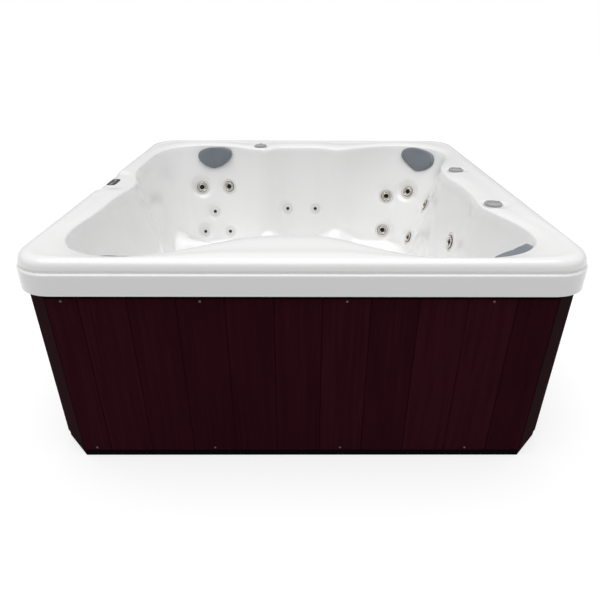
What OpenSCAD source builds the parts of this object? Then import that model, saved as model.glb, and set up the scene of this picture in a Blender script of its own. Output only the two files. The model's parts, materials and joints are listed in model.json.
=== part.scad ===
// Square acrylic hot tub: sculpted shell, boarded cabinet on a timber frame, jets, pillows, controls, filter, pump.
// The origin is the middle of the base on the floor, Z is up and the front of the tub faces -Y.

/* [Overall] */
// Width of the rim, side to side
tub_w = 1980; // [1800:10:2200]
// Depth of the rim, front to back
tub_d = 1980; // [1800:10:2200]
// Height of the rim's crest over the floor
tub_h = 860; // [820:5:920]

/* [Shell] */
// Thickness of the acrylic and its laminate
shell_t = 8; // [6:1:10]
// Corner radius of the rim
rim_r = 150; // [120:5:180]
// Height of the skirt band under the rim
band_h = 76; // [60:2:90]
// Width of the deck on the left, from the rim to the basin
deck_left = 105; // [100:5:125]
// Width of the deck on the right
deck_right = 115; // [105:5:130]
// Width of the deck at the front
deck_front = 65; // [62:1:80]
// Width of the deck at the back
deck_back = 130; // [115:5:150]
// Corner radius of the basin's mouth
basin_r = 250; // [200:10:280]
// How far the walls lean in for each unit of depth
wall_lean = 0.26; // [0.2:0.01:0.3]
// Height of the seats
seat_z = 240; // [225:5:260]
// Height of the footwell's floor
floor_z = 56; // [50:2:70]
// Half width of the footwell at seat height
foot_half = 300; // [270:10:320]

/* [Cabinet] */
// Width that one cabinet board covers
board_w = 165; // [140:5:190]
// Thickness of the boards
board_t = 16; // [12:1:20]
// Leg of the cut-off corners
corner_leg = 112; // [100:2:130]
// Height of the base pan's edge
pan_h = 32; // [24:2:40]

/* [Jets] */
// Radius of the recess around a large jet
big_r = 48; // [45:1:50]
// Radius of a large jet's turning face
face_r = 33; // [30:1:36]
// Radius of a large jet's swivelling ball
ball_r = 15.5; // [14:0.5:16.5]
// Radius of the recess around a small jet
small_r = 38; // [34:1:42]
// Radius of a small jet's face
eye_r = 19.5; // [17:0.5:22]

/* [Controls] */
// Radius of the grey valve caps
cap_r = 39; // [34:1:42]
// Length of the control panel
panel_l = 110; // [100:2:120]
// Width of the control panel
panel_w = 40; // [36:2:42]
// Radius of a panel button
button_r = 5; // [4:0.5:5.5]

/* [Pillows] */
// Width of a pillow at its top
pillow_w = 230; // [200:5:250]
// Height of a pillow
pillow_h = 160; // [140:5:175]
// Thickness of a pillow at its middle
pillow_t = 42; // [34:2:50]

/* [Pump and filter] */
// Radius of the pump's motor
motor_r = 68; // [60:2:72]
// Radius of the filter's canister
canister_r = 78; // [72:2:82]

/* [Hidden] */
$fn = 48;
bearings = 76;
big_dip = 4;
small_dip = 2;
edge_soft = 20;
deck_z = tub_h - 8;
edge_z = deck_z - 14;
// Pads of deck that reach in between the seats: from bearing, to bearing, blend, reach
pads = [
    [-31, 24, 8, 105],
    [-31, -25, 4, 35],
    [4, 20, 6, 32],
    [62, 118, 8, 65],
    [68, 75, 5, 85],
    [106, 113, 5, 100],
    [178, 193, 8, 65],
    [201, 213, 5, 50],
    [256, 276, 20, 210]
];
// Corner seats lean back more: bearing, half width, blend, added lean
leans = [
    [43, 14, 10, 0.2],
    [130, 14, 10, 0.17],
    [228, 14, 10, 0.16],
    [312, 14, 10, 0.16]
];
// Armrests between the seats: bearing, half width, blend, rise
arms = [
    [24, 2, 7, 70],
    [71, 2, 7, 90],
    [109, 2, 7, 90],
    [152, 3, 8, 170],
    [207, 4, 8, 110],
    [266, 10, 16, 60],
    [331, 3, 8, 80]
];
// Jets and pillows on the wall: bearing and depth under the rim's crest, turned into bearing and height
function below_rim(v) = [for (j = v) [j[0], tub_h - j[1]]];
big_jets = below_rim([
    [131, 267], [122.5, 260], [53, 320], [46, 282], [34, 305], [51, 530], [37, 522], [-12, 275]
]);
small_jets = below_rim([
    [129, 420], [135, 535], [125.5, 545], [97.5, 400], [83, 400],
    [231, 270], [222, 270], [227, 420],
    [305, 270], [314, 270], [309, 420]
]);
pillows = below_rim([[124.5, 74], [45.4, 77], [312, 74], [235, 84]]);
// Valve caps on the deck: left or right of the middle, front or back
caps = [[-267, tub_d / 2 - 200], [tub_w / 2 - 168, 190], [tub_w / 2 - 168, -385]];
pillow_gap = 1;
cap_z = tub_h - 9;
panel_at = [57 - tub_w / 2, -33];
panel_z = tub_h - 14;
skimmer_at = [266, tub_h - 145];
suction_at = [[165, 152], [195, 152]];
cab_x = tub_w / 2 - 12;
cab_y = tub_d / 2 - 12;
cab_top = tub_h - 49 - band_h - 2;

function clamp1(t) = min(max(t, 0), 1);
function soft(t) = let (u = clamp1(t)) u * u * (3 - 2 * u);
function turn(a) = let (b = a % 360) b > 180 ? b - 360 : b < -180 ? b + 360 : b;
function plateau(a, mid, half, blend) = 1 - soft((abs(turn(a - mid)) - half) / blend);
function total(v, i = 0) = i < len(v) ? v[i] + total(v, i + 1) : 0;
function mix(a, b, t) = a + (b - a) * t;
function unit(v) = v / norm(v);

// Distance from the middle to a rounded rectangle, along a bearing
function ray(a, x0, x1, y0, y1, r) =
    let (c = cos(a), s = sin(a), hx = c > 0 ? x1 : x0, hy = s > 0 ? y1 : y0)
    let (ca = max(abs(c), 1e-6), sa = max(abs(s), 1e-6), t = min(hx / ca, hy / sa))
    let (kx = hx - r, ky = hy - r, b = ca * kx + sa * ky)
    (t * ca > kx && t * sa > ky) ? b + sqrt(max(b * b - kx * kx - ky * ky + r * r, 0)) : t;
function rim(a, inset) =
    let (x = tub_w / 2 - inset, y = tub_d / 2 - inset) ray(a, x, x, y, y, rim_r - inset);
function basin(a) =
    ray(a, tub_w / 2 - deck_left, tub_w / 2 - deck_right, tub_d / 2 - deck_front,
        tub_d / 2 - deck_back, basin_r);
function pad(a) =
    total([for (p = pads) p[3] * plateau(a, (p[0] + p[1]) / 2, (p[1] - p[0]) / 2, p[2])]);
function lean(a) = wall_lean + total([for (p = leans) p[3] * plateau(a, p[0], p[1], p[2])]);
function seat(a) = seat_z + total([for (p = arms) p[3] * plateau(a, p[0], p[1], p[2])]);
// The rim dips beside the control panel
function dip(a) = 10 * plateau(a, 181, 7, 4);
function wall(a, z) =
    let (t = clamp1((edge_z - z) / (edge_z - seat_z)))
    basin(a) - pad(a) * (1 - 0.6 * t) - lean(a) * (edge_z - z);
function front(a) = ray(a, foot_half, foot_half, foot_half, foot_half, 130);

// The shell's section at a bearing, as [radius, height], from the skirt's lip to the footwell
function section(a) =
    let (e = wall(a, edge_z), zs = seat(a), f = front(a), top = rim(a, 38), w = wall(a, zs + 60))
    let (d = dip(a), z1 = mix(edge_z, zs + 60, 0.36), z2 = mix(edge_z, zs + 60, 0.68))
    [
        [rim(a, 0), tub_h - 49 - band_h],
        [rim(a, 2), tub_h - 49],
        [rim(a, 10), tub_h - 45],
        [rim(a, 8), tub_h - 36],
        [rim(a, 10), tub_h - 24 - d / 3],
        [rim(a, 17), tub_h - 10 - d],
        [rim(a, 27), tub_h - 3 - d],
        [top, tub_h - d],
        [mix(top, e + edge_soft, 0.4), tub_h - 1 - d],
        [e + edge_soft, deck_z - d],
        [e + 6, deck_z - 4 - d],
        [e, edge_z - d],
        [wall(a, edge_z - 50), edge_z - 50],
        [wall(a, z1), z1],
        [wall(a, z2), z2],
        [w, zs + 60],
        [w - 16, zs + 22],
        [w - 48, zs + 5],
        [mix(w - 48, f + 45, 0.5), zs - 2],
        [f + 45, zs],
        [f + 14, zs - 6],
        [f, zs - 28],
        [f - 20, floor_z + 40],
        [f - 34, floor_z + 10],
        [f - 64, floor_z]
    ];
under = [0, 1, 4, 7, 9, 11, 12, 13, 14, 15, 16, 18, 20, 22, 24];
// The direction out of the material on the wet side, at one station of a section
function out_of(s, i) =
    let (d = unit(s[min(i + 1, len(s) - 1)] - s[max(i - 1, 0)])) [d[1], -d[0]];
// The underside, a true thickness away where the wall runs askew to the bearing
function lower(s, next, i) =
    let (slope = (next[i][0] - s[i][0]) / s[i][0] * 180 / PI, t = shell_t * min(sqrt(1 + slope * slope), 1.8))
    i == 0 ? s[0] - [t, 0]
        : i == len(s) - 1 ? s[i] - [0, shell_t]
        : s[i] - out_of(s, i) * mix(shell_t, t, abs(out_of(s, i)[0]));
// The bearings lie closer together where the rim turns its corners
function bearing(i) =
    let (q = floor(i / 19), k = i - 19 * q)
    90 * q + (k < 7 ? 5.8 * k : k < 13 ? 45 + 1.8 * (k - 9.5) : 90 - 5.8 * (19 - k));
function spot(a, p) = [p[0] * cos(a), p[0] * sin(a), p[1]];
function quad(p, q, r, s) = [[p, q, r], [p, r, s]];

// The shell as one closed skin, top surface and underside
module skin() {
    n = bearings;
    secs = [for (i = [0:n - 1]) section(bearing(i))];
    nexts = [for (i = [0:n - 1]) section(bearing(i) + 1)];
    m = len(secs[0]);
    k = len(under);
    tops = [for (j = [0:m - 1]) for (i = [0:n - 1]) spot(bearing(i), secs[i][j])];
    lows = [for (j = [0:k - 1]) for (i = [0:n - 1]) spot(bearing(i), lower(secs[i], nexts[i], under[j]))];
    a = m * n;
    b = a + k * n;
    faces = [
        for (j = [0:m - 2]) for (i = [0:n - 1]) let (h = (i + 1) % n)
            each quad(j * n + i, (j + 1) * n + i, (j + 1) * n + h, j * n + h),
        for (j = [0:k - 2]) for (i = [0:n - 1]) let (h = (i + 1) % n)
            each quad(a + j * n + i, a + j * n + h, a + (j + 1) * n + h, a + (j + 1) * n + i),
        for (i = [0:n - 1]) let (h = (i + 1) % n)
            each quad(i, h, a + h, a + i),
        for (i = [0:n - 1]) let (h = (i + 1) % n)
            [b, (m - 1) * n + h, (m - 1) * n + i],
        for (i = [0:n - 1]) let (h = (i + 1) % n)
            [b + 1, a + (k - 1) * n + i, a + (k - 1) * n + h]
    ];
    ends = [[0, 0, floor_z], [0, 0, floor_z - shell_t]];
    polyhedron(points = concat(tops, lows, ends), faces = faces, convexity = 8);
}

// A point on the wall's own facets, at a bearing and a height, and the mean direction out of it
function wall_r(a, z) = let (s = section(a)) lookup(z, [for (i = [17:-1:11]) [s[i][1], s[i][0]]]);
function step_under(a) = [for (i = [0:bearings - 1]) if (turn(a - bearing(i)) >= 0 && turn(a - bearing(i + 1)) < 0) i][0];
function on_wall(j) =
    let (i = step_under(j[0]), b0 = bearing(i), b1 = bearing(i + 1))
    let (r0 = wall_r(b0, j[1]), r1 = wall_r(b1, j[1]))
    let (p = [r0 * cos(b0), r0 * sin(b0)], q = [r1 * cos(b1), r1 * sin(b1)], u = [cos(j[0]), sin(j[0])])
    let (r = (p[0] * q[1] - p[1] * q[0]) / (u[0] * (q[1] - p[1]) - u[1] * (q[0] - p[0])))
    [r * u[0], r * u[1], j[1]];
function facing(j) =
    let (u = on_wall([j[0] + 2.4, j[1]]) - on_wall([j[0] - 2.4, j[1]]))
    let (v = on_wall([j[0], j[1] + 35]) - on_wall([j[0], j[1] - 35]))
    unit(cross(v, u));
// Millimetres along the wall for each degree of bearing
function per_degree(j) = norm(on_wall([j[0] + 2, j[1]]) - on_wall([j[0] - 2, j[1]])) / 4;
// A height between the wall's face and its back all round a fitting
function landing_top(j, r) =
    let (o = on_wall(j), n = facing(j), k = per_degree(j))
    let (rise = [for (d = [0:30:330]) (on_wall([j[0] + (r + 2) * cos(d) / k, j[1] + (r + 2) * sin(d)]) - o) * n])
    max(-3, max(rise) - shell_t + 1);
// Places a child on the wall: its Z comes out of the wall and its -X points up
module mounted(j) {
    n = facing(j);
    translate(on_wall(j)) rotate([0, acos(n[2]), atan2(n[1], n[0])]) children();
}
// The footwell's wall leans out by 20 mm from its foot to its brow
foot_rise = seat_z - floor_z - 68;
foot_tilt = atan(20 / foot_rise);
function foot_r(j) = front(j[0]) - mix(20, 0, (j[1] - floor_z - 40) / foot_rise);
function on_foot(j, out) =
    [foot_r([180, j[1]]) * cos(180) + out * cos(foot_tilt), foot_r(j) * sin(j[0]), j[1] + out * sin(foot_tilt)];
module on_footwell(j) {
    translate(on_foot(j, 0)) rotate([0, 90 - foot_tilt, 0]) children();
}

// Landing behind the wall that a fitting is clamped to
module landing(r, top) {
    hull() {
        translate([0, 0, -14]) cylinder(r = r - 4, h = 4, $fn = 13);
        translate([0, 0, -7]) cylinder(r = r + 4, h = 7 + top, $fn = 13);
    }
}
module stadium(l, w, h) {
    translate([-w / 2, -(l - w) / 2, 0]) cube([w, l - w, h]);
    for (s = [-1, 1]) translate([0, s * (l - w) / 2, 0]) cylinder(r = w / 2, h = h);
}

module shell() {
    color([0.95, 0.95, 0.94]) union() {
        difference() {
            union() {
                skin();
                for (j = big_jets) mounted(j) landing(big_r, landing_top(j, big_r));
                for (j = small_jets) mounted(j) landing(small_r, landing_top(j, small_r));
                for (p = caps) translate([p[0], p[1], cap_z]) landing(cap_r + 6, -1);
            }
            for (j = big_jets) mounted(j) {
                translate([0, 0, -big_dip]) cylinder(r = big_r, h = 40, $fn = 20);
                translate([0, 0, -30]) cylinder(r = 26, h = 40, $fn = 14);
            }
            for (j = small_jets) mounted(j) {
                translate([0, 0, -small_dip]) cylinder(r = small_r, h = 30, $fn = 16);
                translate([0, 0, -30]) cylinder(r = 12.8, h = 40, $fn = 13);
            }
            for (p = caps) translate([p[0], p[1], cap_z]) {
                cylinder(r = cap_r + 6, h = 20, $fn = 24);
                translate([0, 0, -40]) cylinder(r = 28, h = 60, $fn = 14);
            }
            translate([panel_at[0], panel_at[1], panel_z]) stadium(panel_l + 4, panel_w + 4, 30, $fn = 32);
            translate([panel_at[0] - 15, panel_at[1] - panel_l / 2 + 6, panel_z - 30]) cube([30, panel_l - 12, 60]);
            mounted(skimmer_at) {
                translate([-68, -108, -5]) cube([136, 216, 60]);
                translate([-57, -97, -40]) cube([114, 194, 60]);
            }
            for (j = suction_at) on_footwell(j) {
                translate([0, 0, -3.2]) rotate(7) cylinder(r = 50, h = 40, $fn = 20);
                translate([0, 0, -40]) cylinder(r = 25, h = 60, $fn = 14);
            }
        }
    }
}

// A square outline with cut-off corners
function cut_square(x, y, c) = [
    [x - c, -y], [x, c - y], [x, y - c], [x - c, y], [c - x, y], [-x, y - c], [-x, c - y], [c - x, -y]
];
module base_pan() {
    x = cab_x - 4;
    y = cab_y - 4;
    color([0.06, 0.06, 0.06]) difference() {
        linear_extrude(pan_h) polygon(cut_square(x, y, corner_leg - 2));
        translate([0, 0, 5]) linear_extrude(pan_h) polygon(cut_square(x - 6, y - 6, corner_leg - 6));
    }
}
module floor_pad() {
    color([0.75, 0.7, 0.5]) translate([0, 0, 5.3]) cylinder(r = foot_half - 80, h = floor_z - shell_t - 5.6);
}
// Half the length of the frame on an even or an odd side, between the cut-off corners
function frame_half(s) = (s % 2 == 0 ? cab_x : cab_y) - corner_leg - 12;
// Places a child at the middle of a side, with its front face on the line of the frame
module on_side(s) {
    rotate(90 * s) translate([0, -(s % 2 == 0 ? cab_y : cab_x) + board_t + 0.3, 0]) children();
}
module frame_posts() {
    color([0.72, 0.55, 0.36]) for (sx = [0, 1]) for (sy = [0, 1]) mirror([sx, 0, 0]) mirror([0, sy, 0])
        translate([cab_x - corner_leg / 2, cab_y - corner_leg / 2, 5.3]) rotate(45)
            translate([-board_t - 73, -50, 0]) cube([45, 100, tub_h - 29.3]);
}
module frame_rails() {
    color([0.76, 0.6, 0.4]) for (s = [0:3]) on_side(s) for (z = [5.3, tub_h - 104])
        translate([-frame_half(s), 0, z]) cube([2 * frame_half(s), 24, z < 10 ? 60 : 64]);
}
module frame_studs() {
    color([0.74, 0.57, 0.38]) for (s = [0:3]) on_side(s) for (i = [-2:2])
        translate([i * (frame_half(s) - 54) / 2 - 30, 0, 65.6]) cube([60, 24, tub_h - 169.9]);
}

// Joints between boards, from the middle out; the last ones stop at the cut-off corner
function board_edges(half) =
    let (e = [for (i = [-9:9]) 67 + i * board_w]) concat([-half], [for (v = e) if (abs(v) < half - 60) v], [half]);
// The centre of every third board, where it is screwed to the rails
function screw_xs(half) = let (e = board_edges(half)) [for (i = [0:3:len(e) - 2]) (e[i] + e[i + 1]) / 2];
// One side of the cabinet: shiplap boards with a bevelled edge
module boards(half, out) {
    e = board_edges(half);
    n = len(e) - 1;
    t = board_t;
    difference() {
        for (i = [0:n - 1]) {
            a = e[i] + 0.3;
            b = e[i + 1] - 0.3;
            lap = i < n - 1 ? 7 : 0;
            foot = i > 0 ? 7.6 : 0;
            translate([0, -out, pan_h + 1]) linear_extrude(cab_top - pan_h - 1) polygon([
                [a, 2.5], [a + 2.5, 0], [b - 2.5, 0], [b, 2.5], [b, t / 2 + 0.3], [b + lap, t / 2 + 0.3],
                [b + lap, t], [a + foot, t], [a + foot, t / 2], [a, t / 2]
            ]);
        }
        for (x = screw_xs(half)) for (z = [pan_h + 14, cab_top - 22])
            translate([x, -out - 1, z]) rotate([-90, 0, 0]) cylinder(r = 2.6, h = t + 2);
    }
}
module boards_side(s) {
    color([0.14, 0.03, 0.06]) rotate(90 * s)
        boards((s % 2 == 0 ? cab_x : cab_y) - corner_leg, s % 2 == 0 ? cab_y : cab_x);
}
module boards_front() { boards_side(0); }
module boards_right() { boards_side(1); }
module boards_back() { boards_side(2); }
module boards_left() { boards_side(3); }
module corner_boards() {
    c = corner_leg - 0.3;
    k = board_t * sqrt(2);
    color([0.14, 0.03, 0.06]) for (sx = [0, 1]) for (sy = [0, 1]) mirror([sx, 0, 0]) mirror([0, sy, 0])
        translate([cab_x, cab_y, pan_h + 1]) linear_extrude(cab_top - pan_h - 1) polygon([
            [-c, -1.6], [-c + 2, -2.3], [-2.3, -c + 2], [-1.6, -c], [-k - 0.6, -c], [-c, -k - 0.6]
        ]);
}
module board_screws() {
    color([0.6, 0.6, 0.6]) for (s = [0:3]) rotate(90 * s) {
        half = (s % 2 == 0 ? cab_x : cab_y) - corner_leg;
        out = s % 2 == 0 ? cab_y : cab_x;
        for (x = screw_xs(half)) for (z = [pan_h + 14, cab_top - 22]) translate([x, -out, z]) rotate([-90, 0, 0]) {
            translate([0, 0, -1.9]) cylinder(r = 4.5, h = 1.6);
            translate([0, 0, -0.5]) cylinder(r = 2.3, h = board_t);
        }
    }
}

// Outline of a pillow: wide and round at the top, narrowing to a round foot
function pick(f) =
    let (c = cos(f), s = sin(f), w = pillow_w / 2, up = pillow_h * 0.42, dn = pillow_h * 0.58)
    s > 0 ? 1 / pow(pow(abs(c) / w, 2.6) + pow(s / up, 2.6), 1 / 2.6)
        : 1 / pow(pow(abs(c) / w, 1.75) + pow(-s / dn, 1.75), 1 / 1.75);
// A point of a pillow: across and along the wall from its middle, and out from it
function on_pillow(j, u, v, out) =
    let (q = [j[0] - u / per_degree(j), j[1] + v * 0.93])
    on_wall(q) + (out + pillow_gap) * unit(facing(q) + facing(j));
module pillow(j) {
    n = 28;
    m = 5;
    rings = concat(
        [[0.9, 0]],
        [for (i = [0:m]) let (q = i / m) [1 - 0.86 * q * q, 4 + (pillow_t - 4) * sin(90 * pow(q, 0.7))]]
    );
    pts = concat(
        [for (r = rings) for (i = [0:n - 1]) let (f = i * 360 / n)
            on_pillow(j, pick(f) * r[0] * cos(f), pick(f) * r[0] * sin(f), r[1])],
        [on_pillow(j, 0, 0, pillow_t), on_pillow(j, 0, 0, 0)]
    );
    k = (m + 2) * n;
    faces = [
        for (r = [0:m]) for (i = [0:n - 1]) let (h = (i + 1) % n)
            each quad(r * n + i, (r + 1) * n + i, (r + 1) * n + h, r * n + h),
        for (i = [0:n - 1]) let (h = (i + 1) % n) [k, (m + 1) * n + h, (m + 1) * n + i],
        for (i = [0:n - 1]) let (h = (i + 1) % n) [k + 1, i, h]
    ];
    polyhedron(points = pts, faces = faces, convexity = 3);
}
module placed_pillow(i) {
    color([0.44, 0.47, 0.5]) pillow(pillows[i]);
}
module pillow_back_left() { placed_pillow(0); }
module pillow_back_right() { placed_pillow(1); }
module pillow_front_right() { placed_pillow(2); }
module pillow_front_left() { placed_pillow(3); }

// A valve cap: a low dome with a grip across it, on a stem that turns in the valve body
module cap(i) {
    r = cap_r;
    color([0.62, 0.63, 0.64]) translate([caps[i][0], caps[i][1], cap_z]) {
        rotate_extrude() polygon([[0, 2.8], [r, 2.8], [r, 6], [r - 3, 9.5], [r - 10, 12], [0, 13.5]]);
        translate([0, 0, 8]) rotate([0, 0, i == 0 ? 0 : 90]) intersection() {
            stadium(2 * r - 8, 13, 12);
            translate([0, 0, -58]) sphere(r = 70);
        }
        translate([0, 0, -50]) cylinder(r = 8, h = 54);
    }
}
module diverter_cap() { cap(0); }
module air_cap_rear() { cap(1); }
module air_cap_front() { cap(2); }
module valve_bodies() {
    color([0.85, 0.85, 0.85]) for (p = caps) translate([p[0], p[1], cap_z]) difference() {
        union() {
            translate([0, 0, 0.2]) cylinder(r = cap_r + 4, h = 2.2);
            translate([0, 0, -76]) cylinder(r = 27, h = 77);
            translate([0, 0, -60]) rotate([0, 90, p[0] < 0 ? 0 : 90]) translate([0, 0, -60]) cylinder(r = 15, h = 120);
        }
        translate([0, 0, -52]) cylinder(r = 8.06, h = 60);
    }
}

module at_panel() {
    translate([panel_at[0], panel_at[1], panel_z]) children();
}
button_ys = [-40, -26, 26, 40];
module control_panel() {
    color([0.12, 0.12, 0.13]) at_panel() difference() {
        union() {
            translate([0, 0, 0.3]) stadium(panel_l, panel_w, 4.7);
            translate([-14, -panel_l / 2 + 8, -22]) cube([28, panel_l - 16, 23]);
        }
        for (y = button_ys) translate([0, y, 0.4]) cylinder(r = button_r + 0.15, h = 10);
        translate([-9.2, -18.2, 3]) cube([18.4, 36.4, 5]);
    }
}
module display_window() {
    color([0.05, 0.07, 0.1]) at_panel() translate([-9, -18, 3.05]) cube([18, 36, 1.7]);
}
module button(i) {
    color([0.7, 0.72, 0.74]) at_panel() translate([0, button_ys[i], 1.8]) {
        rotate_extrude() polygon([[0, 0], [button_r, 0], [button_r, 3.7], [button_r - 0.6, 4.3], [0, 4.5]]);
    }
}
module button_1() { button(0); }
module button_2() { button(1); }
module button_3() { button(2); }
module button_4() { button(3); }

// Places a child on the floor of a jet's recess
module in_recess(j, dip) {
    mounted(j) translate([0, 0, -dip]) children();
}
// Large jet: a body clamped through the wall, a face that turns in it and a ball that swivels in the face
module jet_bodies_large() {
    color([0.85, 0.86, 0.87]) for (j = big_jets) in_recess(j, big_dip) {
        rotate_extrude() polygon([
            [0, -61], [9, -61], [9, -57], [25, -57], [25, 0.3], [big_r - 2, 0.3],
            [big_r - 2, 1.8], [big_r - 6, 2.8], [21, 2.8], [21, -53], [0, -53]
        ]);
    }
}
module jet_face(i) {
    r = face_r;
    b = ball_r + 0.1;
    color([0.8, 0.81, 0.82]) in_recess(big_jets[i], big_dip) rotate_extrude() polygon([
        [b, -14], [20.92, -14], [20.92, 3.1], [r, 3.1], [r, 6], [r - 3, 8.4], [r - 9, 9],
        [b + 3, 7.4], [b - 2, 7.4], [b - 2, 6], [b, 5.6]
    ]);
}
module jet_ball(i) {
    color([0.1, 0.1, 0.11]) in_recess(big_jets[i], big_dip) translate([0, 0, -2]) difference() {
        union() {
            intersection() {
                sphere(r = ball_r);
                translate([-20, -20, -11]) cube([40, 40, 19]);
            }
            cylinder(r = 8.5, h = 13);
        }
        translate([0, 0, -20]) cylinder(r = 5.5, h = 40);
    }
}
module jet_face_1() { jet_face(0); }
module jet_face_2() { jet_face(1); }
module jet_face_3() { jet_face(2); }
module jet_face_4() { jet_face(3); }
module jet_face_5() { jet_face(4); }
module jet_face_6() { jet_face(5); }
module jet_face_7() { jet_face(6); }
module jet_face_8() { jet_face(7); }
module jet_ball_1() { jet_ball(0); }
module jet_ball_2() { jet_ball(1); }
module jet_ball_3() { jet_ball(2); }
module jet_ball_4() { jet_ball(3); }
module jet_ball_5() { jet_ball(4); }
module jet_ball_6() { jet_ball(5); }
module jet_ball_7() { jet_ball(6); }
module jet_ball_8() { jet_ball(7); }
module jet_bodies_small() {
    color([0.85, 0.86, 0.87]) for (j = small_jets) in_recess(j, small_dip) rotate_extrude() polygon([
        [0, -45], [12, -45], [12, 0.3], [small_r - 2, 0.3], [small_r - 2, 1.4], [small_r - 6, 2.4],
        [9, 2.4], [9, -41], [0, -41]
    ]);
}
module jet_faces_small() {
    color([0.8, 0.81, 0.82]) for (j = small_jets) in_recess(j, small_dip) rotate_extrude() polygon([
        [5, -11], [8.8, -11], [8.8, 2.6], [eye_r, 2.6], [eye_r, 4.4], [eye_r - 3, 6.4], [8, 6.8], [5, 4.7]
    ]);
}

// Filter: a wall frame and throat open into an upright canister
module skimmer() {
    r = canister_r;
    color([0.88, 0.88, 0.88]) mounted(skimmer_at) difference() {
        union() {
            translate([-66, -106, -4.7]) cube([132, 212, 4]);
            translate([-54, -94, -100]) cube([108, 188, 96]);
            translate([-70, 0, -26 - r]) rotate([0, 90, 0]) cylinder(r = r, h = 300);
        }
        translate([-50, -90, -22 - r]) cube([100, 180, 60 + r]);
        translate([-50, 0, -26 - r]) rotate([0, 90, 0]) cylinder(r = r - 4, h = 276);
    }
}
module weir_flap() {
    color([0.9, 0.9, 0.9]) mounted(skimmer_at) {
        translate([-46, -86, -14]) cube([92, 172, 4]);
        translate([44, -89.7, -12]) rotate([-90, 0, 0]) cylinder(r = 3, h = 179.4);
    }
}
module filter_cartridge() {
    r = canister_r;
    color([0.93, 0.93, 0.95]) mounted(skimmer_at) translate([60, 0, -26 - r]) rotate([0, 90, 0]) difference() {
        cylinder(r = r - 16, h = 165.7);
        translate([0, 0, -1]) cylinder(r = 22, h = 170);
    }
}
module suction_covers() {
    color([0.82, 0.82, 0.82]) for (j = suction_at) on_footwell(j) difference() {
        union() {
            rotate_extrude() polygon([[0, -2.7], [48, -2.7], [48, 0], [40, 7], [0, 9]]);
            translate([0, 0, -50]) cylinder(r = 24, h = 50);
        }
        translate([0, 0, -60]) cylinder(r = 20, h = 62);
        for (a = [0:45:315]) rotate(a) translate([16, 0, -5]) cylinder(r = 3, h = 30);
        for (a = [0:30:330]) rotate(a) translate([30, 0, -5]) cylinder(r = 3, h = 30);
    }
}

// Pump: its axis runs across the tub, under the left seat
pump_x = -foot_half - 150;
pump_z = on_foot(suction_at[0], -54.5)[2];
module pump_motor() {
    color([0.2, 0.2, 0.22]) translate([pump_x - 74.3, 0, pump_z]) {
        rotate([0, -90, 0]) cylinder(r = motor_r, h = 230);
        translate([-190, -60, -pump_z + 5.3]) cube([150, 120, pump_z - motor_r]);
        rotate([0, -90, 0]) translate([0, 0, 229]) cylinder(r = motor_r - 6, h = 14);
        translate([-170, -35, 40]) cube([110, 70, 48]);
    }
}
module pump_housing() {
    color([0.1, 0.1, 0.1]) translate([pump_x, 0, pump_z]) difference() {
        union() {
            rotate([0, -90, 0]) cylinder(r = 78, h = 74);
            rotate([0, 90, 0]) cylinder(r = 30, h = 30);
            translate([-40, 0, 44]) rotate([-90, 0, 0]) cylinder(r = 30, h = 110);
        }
        translate([-8, 0, 0]) rotate([0, -90, 0]) cylinder(r = 68, h = 58);
        translate([-10, 0, 0]) rotate([0, 90, 0]) cylinder(r = 22, h = 60);
        translate([-60, 0, 0]) rotate([0, -90, 0]) cylinder(r = 8.06, h = 20);
        translate([-40, 60, 44]) rotate([-90, 0, 0]) cylinder(r = 22, h = 60);
    }
}
module impeller() {
    color([0.5, 0.5, 0.5]) translate([pump_x, 0, pump_z]) {
        translate([-18, 0, 0]) rotate([0, -90, 0]) cylinder(r = 56, h = 5);
        translate([-42, 0, 0]) rotate([0, -90, 0]) cylinder(r = 56, h = 5);
        for (a = [0:60:300]) rotate([a, 0, 0]) translate([-43, 12, -2]) cube([24, 42, 4]);
        translate([-16, 0, 0]) rotate([0, -90, 0]) cylinder(r = 14, h = 32);
        translate([-30, 0, 0]) rotate([0, -90, 0]) cylinder(r = 8, h = 43);
    }
}
box_x = -cab_x + board_t + 32;
heater_z = seat_z + 60;
module heater_tube() {
    color([0.75, 0.76, 0.78]) translate([box_x + 66, 0, heater_z]) rotate([90, 0, 0]) {
        translate([0, 0, -150]) cylinder(r = 27, h = 330);
        translate([0, 0, -150]) cylinder(r = 36, h = 30);
        translate([0, 0, 150]) cylinder(r = 36, h = 30);
    }
}
module control_box() {
    color([0.13, 0.13, 0.14]) translate([box_x, -170, heater_z + 42]) {
        cube([100, 330, 180]);
        translate([-7.7, 12, 12]) cube([9, 306, 156]);
    }
}
// A pipe through a list of points
module pipe(pts, r) {
    for (i = [0:len(pts) - 2]) {
        d = pts[i + 1] - pts[i];
        translate(pts[i]) rotate([0, acos(d[2] / norm(d)), atan2(d[1], d[0])]) cylinder(r = r, h = norm(d));
    }
    for (i = [1:1:len(pts) - 2]) translate(pts[i]) sphere(r = r + 3);
}
module pipework() {
    s0 = on_foot(suction_at[0], -54.5);
    s1 = on_foot(suction_at[1], -54.5);
    xm = s0[0] - 40;
    x1 = pump_x + 30.3;
    hx = box_x + 66;
    manifold = [430 - tub_w / 2, 430 - tub_d / 2, 120];
    color([0.9, 0.9, 0.9]) {
        pipe([s0, [xm, s0[1], pump_z], [xm, s1[1], pump_z], s1], 20);
        pipe([[xm, 0, pump_z], [x1, 0, pump_z]], 23);
        translate([xm, 0, pump_z]) sphere(r = 28);
        pipe([[pump_x - 40, 110.3, pump_z + 44], [pump_x - 40, 190, pump_z + 44], [hx, 190, pump_z + 44],
            [hx, 190, heater_z], [hx, 150.3, heater_z]], 24);
        pipe([[hx, -180.3, heater_z], [hx, -330, heater_z], [hx, -330, 120], manifold], 24);
        translate(manifold - [0, 0, 60]) cylinder(r = 34, h = 120);
    }
}

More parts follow.
